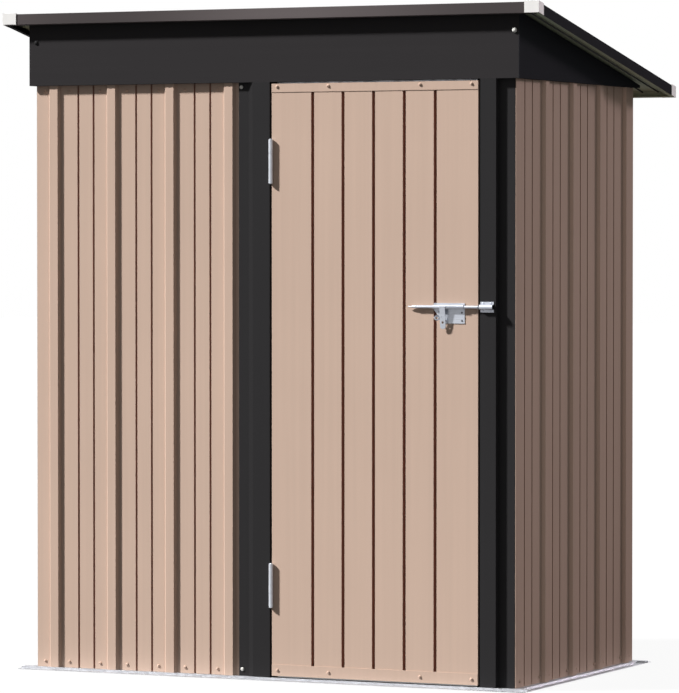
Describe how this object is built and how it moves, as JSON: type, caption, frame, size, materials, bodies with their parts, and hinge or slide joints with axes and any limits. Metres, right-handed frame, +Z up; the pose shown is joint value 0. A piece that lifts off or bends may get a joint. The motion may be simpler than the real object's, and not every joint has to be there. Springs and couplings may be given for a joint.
{
  "type": "metal storage shed",
  "caption": "Small metal garden shed with ribbed tan walls, black posts and fascia, a lean-to roof with white corner caps, and a hinged door with a sliding bolt.",
  "frame": {"origin": "on the ground, under the middle of the roof", "axes": "+X to the right along the front as it is seen from outside, +Y from the front to the back, +Z up"},
  "size_m": [1.6064, 1.0084, 1.8166],
  "materials": {
    "tan_paint": "satin tan paint on steel sheet",
    "black_paint": "satin black paint on steel sheet",
    "zinc": "galvanised steel",
    "hardware": "bright zinc-plated steel",
    "white_plastic": "smooth white plastic"
  },
  "bodies": {
    "shell": {"base_rail_front": "zinc", "base_rail_back": "zinc", "base_rail_left": "zinc", "base_rail_right": "zinc", "front_wall": "tan_paint", "left_wall": "tan_paint", "right_wall": "tan_paint", "back_wall_left": "tan_paint", "back_wall_middle": "tan_paint", "back_wall_right": "tan_paint", "door_post_left": "black_paint", "corner_post_right": "black_paint", "fascia": "black_paint", "gable_left": "black_paint", "gable_right": "black_paint", "top_rail_front": "zinc", "top_rail_back": "zinc", "top_rail_left": "zinc", "top_rail_right": "zinc", "mid_rail_left": "zinc", "mid_rail_right": "zinc", "mid_rail_back": "zinc", "roof_sheet_left": "black_paint", "roof_sheet_middle": "black_paint", "roof_sheet_right": "black_paint", "roof_beam": "zinc", "roof_trim_front": "black_paint", "roof_trim_back": "black_paint", "roof_trim_left": "black_paint", "roof_trim_right": "black_paint", "roof_cap_front_left": "white_plastic", "roof_cap_front_right": "white_plastic", "roof_cap_back_left": "white_plastic", "roof_cap_back_right": "white_plastic", "hinge_frame_leaf_upper": "hardware", "hinge_frame_leaf_lower": "hardware", "latch_keeper": "hardware"},
    "door": {"door_panel": "tan_paint", "door_top_cap": "tan_paint", "door_bottom_shoe": "tan_paint", "door_braces": "tan_paint", "hinge_door_leaf_upper": "hardware", "hinge_door_leaf_lower": "hardware", "latch_case": "hardware"},
    "bolt": {"latch_bolt": "hardware"}
  },
  "joints": [
    {"name": "door_swing", "type": "hinge", "parent": "shell", "child": "door", "pos_m": [0.0118, -0.4814, 0.829], "axis": [0, 0, -1], "range_deg": [0, 120]},
    {"name": "bolt_slide", "type": "slide", "parent": "door", "child": "bolt", "axis": [-1, 0, 0], "range_m": [-0.05, 0]}
  ]
}
